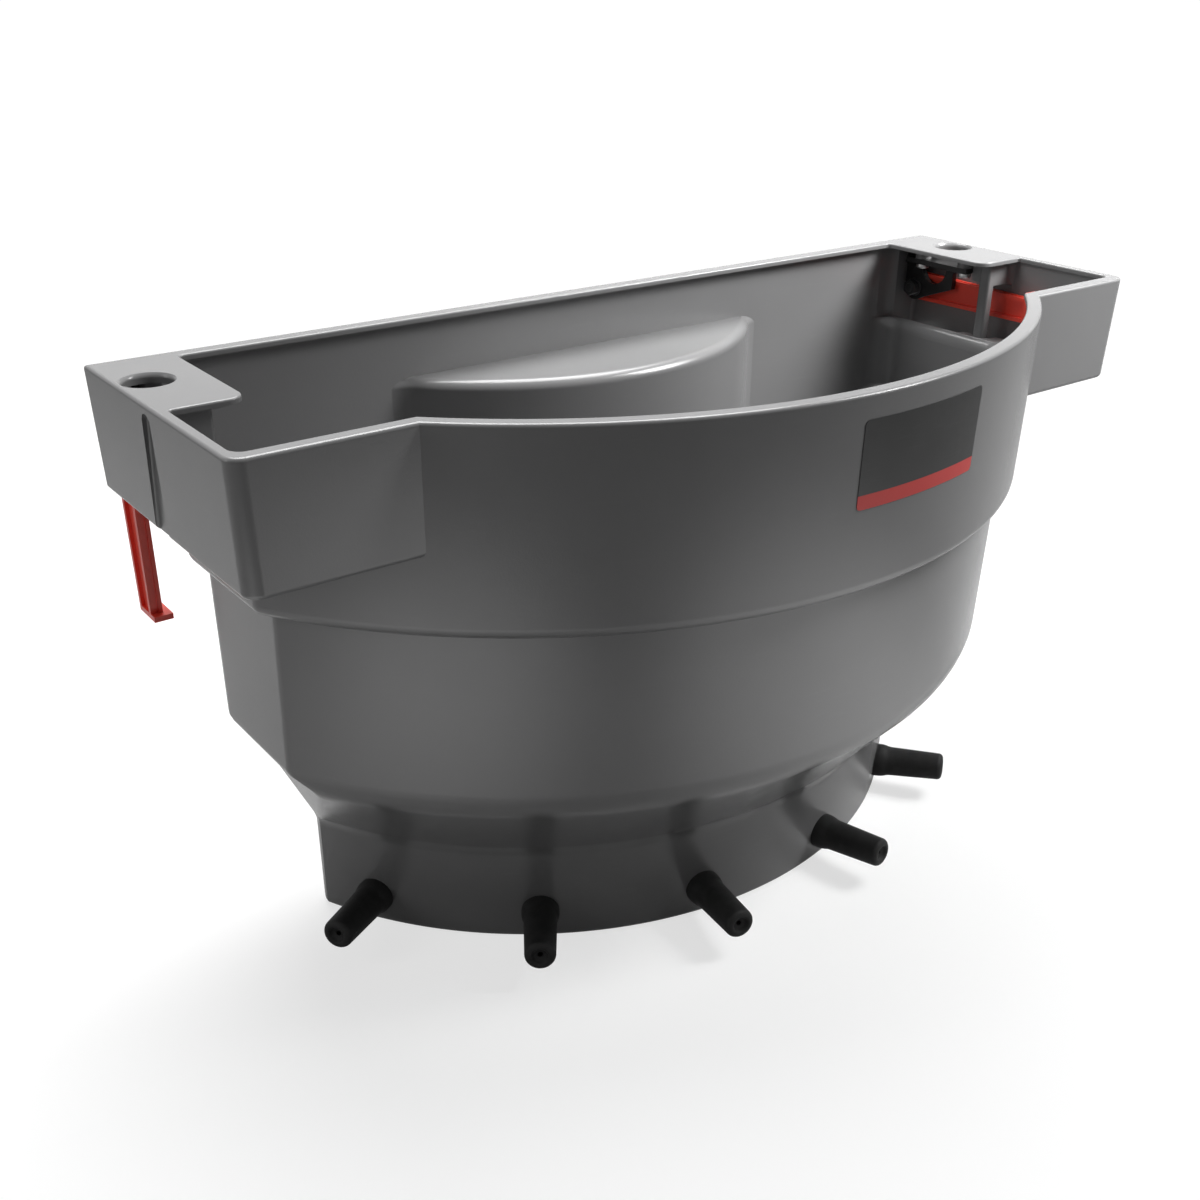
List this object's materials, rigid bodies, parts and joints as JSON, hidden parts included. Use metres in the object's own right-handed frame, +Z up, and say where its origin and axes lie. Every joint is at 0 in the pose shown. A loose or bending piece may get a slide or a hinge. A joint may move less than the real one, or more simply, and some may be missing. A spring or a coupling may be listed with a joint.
{
  "type": "multi teat lamb feeder",
  "caption": "Hanging milk tub with a curved stepped front, a row of rubber teats round its foot and a swinging lock arm in the wing at each end.",
  "frame": {"origin": "on the floor under the middle of the tub's outline", "axes": "+X along the length to the right, -Y out of the curved front, +Z up"},
  "size_m": [0.6, 0.2559, 0.332],
  "materials": {
    "tub": "semi-gloss moulded",
    "teat": "matte rubber",
    "bracket": "semi-gloss moulded",
    "arm": "semi-gloss moulded",
    "steel": "plated"
  },
  "bodies": {
    "feeder": {"tub": "tub", "teat_1": "teat", "teat_2": "teat", "teat_3": "teat", "teat_4": "teat", "teat_5": "teat", "teat_6": "teat", "pivot_bracket_left": "bracket", "pivot_bracket_right": "bracket", "bracket_screws_left": "steel", "bracket_screws_right": "steel", "pivot_bolt_left": "steel", "pivot_bolt_right": "steel", "pivot_washer_left": "steel", "pivot_washer_right": "steel", "pivot_nut_left": "steel", "pivot_nut_right": "steel"},
    "arm_left": {"lock_arm_left": "arm"},
    "arm_right": {"lock_arm_right": "arm"}
  },
  "joints": [
    {"name": "arm_left_swing", "type": "hinge", "parent": "feeder", "child": "arm_left", "pos_m": [-0.2907, 0.114, 0.2995], "axis": [1, 0, 0], "range_deg": [-90, 0]},
    {"name": "arm_right_swing", "type": "hinge", "parent": "feeder", "child": "arm_right", "pos_m": [0.2907, 0.114, 0.2995], "axis": [1, 0, 0], "range_deg": [0, 90]}
  ]
}
